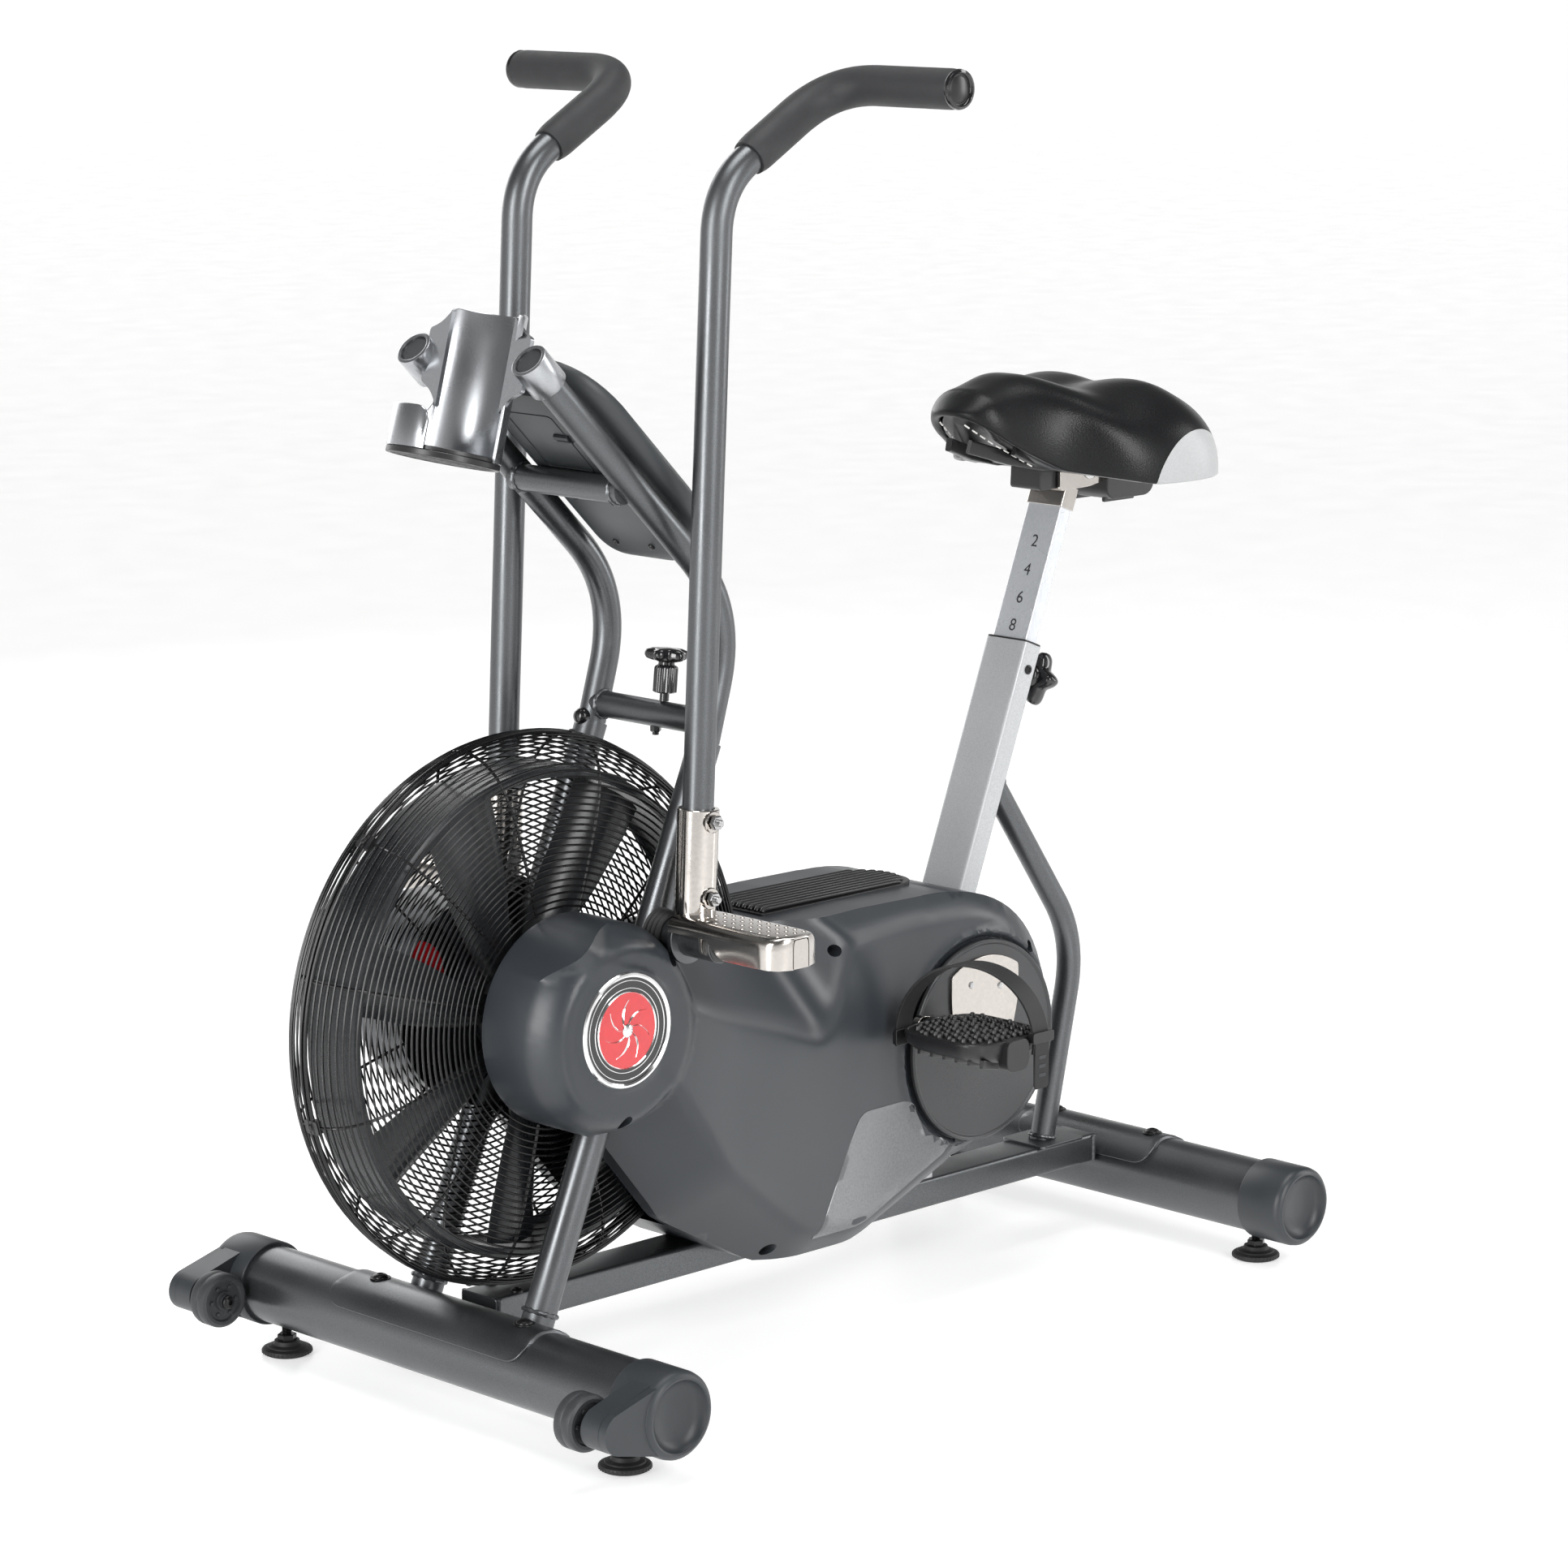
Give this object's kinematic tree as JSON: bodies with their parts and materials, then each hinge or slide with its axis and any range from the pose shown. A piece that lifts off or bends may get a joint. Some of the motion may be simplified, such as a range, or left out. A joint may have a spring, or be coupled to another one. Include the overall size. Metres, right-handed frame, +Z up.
{
  "type": "air bike",
  "caption": "Stationary fan bike: wire-caged fan wheel, swinging arm levers, crank with strapped pedals, height-adjustable wide saddle, floor stabilisers on levelling feet.",
  "frame": {"origin": "on the floor, at the centre of the footprint", "axes": "+X forward, towards the fan end; +Y to the rider's left; +Z up"},
  "size_m": [1.148, 0.6406, 1.2618],
  "materials": {
    "frame_paint": "satin metallic grey powder coat",
    "seat_tube_paint": "light silver-grey metallic paint",
    "post_metal": "zinc-plated",
    "chrome": "polished",
    "cover_plastic": "satin moulded plastic",
    "cap_plastic": "satin",
    "black_plastic": "satin",
    "console_plastic": "fine texture",
    "screen": "clear display window",
    "fan_plastic": "satin",
    "cage_wire": "gloss black powder coat",
    "rubber": "matt",
    "grip_foam": "closed-cell foam",
    "holder_silver": "bright silver",
    "saddle_leather": "grained synthetic leather"
  },
  "bodies": {
    "frame": {"front_stabiliser": "frame_paint", "rear_stabiliser": "frame_paint", "base_beam": "frame_paint", "fork_left": "frame_paint", "fork_right": "frame_paint", "seat_brace": "frame_paint", "mast_left": "frame_paint", "mast_right": "frame_paint", "mast_cross_lower": "frame_paint", "mast_cross_upper": "frame_paint", "seat_tube": "seat_tube_paint", "post_bushing": "black_plastic", "front_cap_left": "cap_plastic", "front_cap_right": "cap_plastic", "rear_cap_left": "cap_plastic", "rear_cap_right": "cap_plastic", "front_foot_left": "black_plastic", "front_foot_right": "black_plastic", "rear_foot_left": "black_plastic", "rear_foot_right": "black_plastic", "pivot_shaft_left": "black_plastic", "pivot_shaft_right": "black_plastic", "console_housing": "console_plastic", "console_screen": "screen", "fan_cage_left": "cage_wire", "fan_cage_right": "cage_wire", "drive_belt": "rubber", "cover_left": "cover_plastic", "cover_right": "cover_plastic", "bottle_holder": "holder_silver"},
    "fan": {"fan_wheel": "fan_plastic", "fan_rim": "fan_plastic", "fan_axle": "chrome"},
    "crank": {"crank_axle": "chrome", "crank_left": "chrome", "crank_right": "chrome"},
    "pedal_left": {"pedal_left": "black_plastic", "pedal_strap_left": "rubber"},
    "pedal_right": {"pedal_right": "black_plastic", "pedal_strap_right": "rubber"},
    "arm_left": {"arm_tube_left": "frame_paint", "grip_left": "grip_foam", "arm_pivot_left": "frame_paint", "foot_peg_left": "chrome"},
    "arm_right": {"arm_tube_right": "frame_paint", "grip_right": "grip_foam", "arm_pivot_right": "frame_paint", "foot_peg_right": "chrome"},
    "rod_left": {"link_rod_left": "frame_paint"},
    "rod_right": {"link_rod_right": "frame_paint"},
    "seat": {"seat_post": "post_metal", "saddle_clamp": "chrome", "saddle": "saddle_leather"},
    "seat_knob": {"seat_knob": "black_plastic"},
    "mast_knob": {"mast_knob": "black_plastic"},
    "wheel_left": {"transport_wheel_left": "rubber"},
    "wheel_right": {"transport_wheel_right": "rubber"},
    "button_1": {"console_button_1": "black_plastic"},
    "button_2": {"console_button_2": "black_plastic"},
    "button_3": {"console_button_3": "black_plastic"}
  },
  "joints": [
    {"name": "crank_spin", "type": "hinge", "parent": "frame", "child": "crank", "pos_m": [-0.22, 0, 0.272], "axis": [0, 1, 0], "continuous": true},
    {"name": "fan_spin", "type": "hinge", "parent": "frame", "child": "fan", "pos_m": [0.306, 0, 0.376], "axis": [0, 1, 0], "continuous": true},
    {"name": "pedal_left_spin", "type": "hinge", "parent": "crank", "child": "pedal_left", "pos_m": [-0.12447, 0.185, 0.30155], "axis": [0, 1, 0], "continuous": true},
    {"name": "pedal_right_spin", "type": "hinge", "parent": "crank", "child": "pedal_right", "pos_m": [-0.31553, -0.185, 0.24245], "axis": [0, 1, 0], "continuous": true},
    {"name": "arm_left_swing", "type": "hinge", "parent": "frame", "child": "arm_left", "pos_m": [0.22, 0.14, 0.453], "axis": [0, 1, 0], "range_deg": [-12, 12]},
    {"name": "arm_right_swing", "type": "hinge", "parent": "frame", "child": "arm_right", "pos_m": [0.22, -0.14, 0.453], "axis": [0, 1, 0], "range_deg": [-12, 12]},
    {"name": "rod_left_swing", "type": "hinge", "parent": "arm_left", "child": "rod_left", "pos_m": [0.187, 0.09, 0.35], "axis": [0, 1, 0], "range_deg": [-12, 12]},
    {"name": "rod_right_swing", "type": "hinge", "parent": "arm_right", "child": "rod_right", "pos_m": [0.187, -0.09, 0.35], "axis": [0, 1, 0], "range_deg": [-12, 12]},
    {"name": "seat_height", "type": "slide", "parent": "frame", "child": "seat", "axis": [-0.3635, 0, 0.9316], "range_m": [-0.09, 0.1]},
    {"name": "seat_knob_turn", "type": "hinge", "parent": "frame", "child": "seat_knob", "pos_m": [-0.37382, 0, 0.62392], "axis": [-0.9316, 0, -0.3635], "continuous": true},
    {"name": "mast_knob_turn", "type": "hinge", "parent": "frame", "child": "mast_knob", "pos_m": [0.134, 0.018, 0.653], "axis": [-0.0998, 0, 0.995], "continuous": true},
    {"name": "wheel_left_spin", "type": "hinge", "parent": "frame", "child": "wheel_left", "pos_m": [0.472, 0.264, 0.066], "axis": [0, 1, 0], "continuous": true},
    {"name": "wheel_right_spin", "type": "hinge", "parent": "frame", "child": "wheel_right", "pos_m": [0.472, -0.264, 0.066], "axis": [0, 1, 0], "continuous": true},
    {"name": "button_1_press", "type": "slide", "parent": "frame", "child": "button_1", "axis": [0.7023, 0, -0.7118], "range_m": [0, 0.0014], "stiffness_N_per_m": 400},
    {"name": "button_2_press", "type": "slide", "parent": "frame", "child": "button_2", "axis": [0.7023, 0, -0.7118], "range_m": [0, 0.0014], "stiffness_N_per_m": 400},
    {"name": "button_3_press", "type": "slide", "parent": "frame", "child": "button_3", "axis": [0.7023, 0, -0.7118], "range_m": [0, 0.0014], "stiffness_N_per_m": 400}
  ],
  "couplings": [
    {"joint": "fan_spin", "follows": "crank_spin", "ratio": 5},
    {"joint": "arm_right_swing", "follows": "arm_left_swing", "ratio": -1},
    {"joint": "rod_left_swing", "follows": "arm_left_swing", "ratio": -1},
    {"joint": "rod_right_swing", "follows": "arm_left_swing", "ratio": 1}
  ]
}
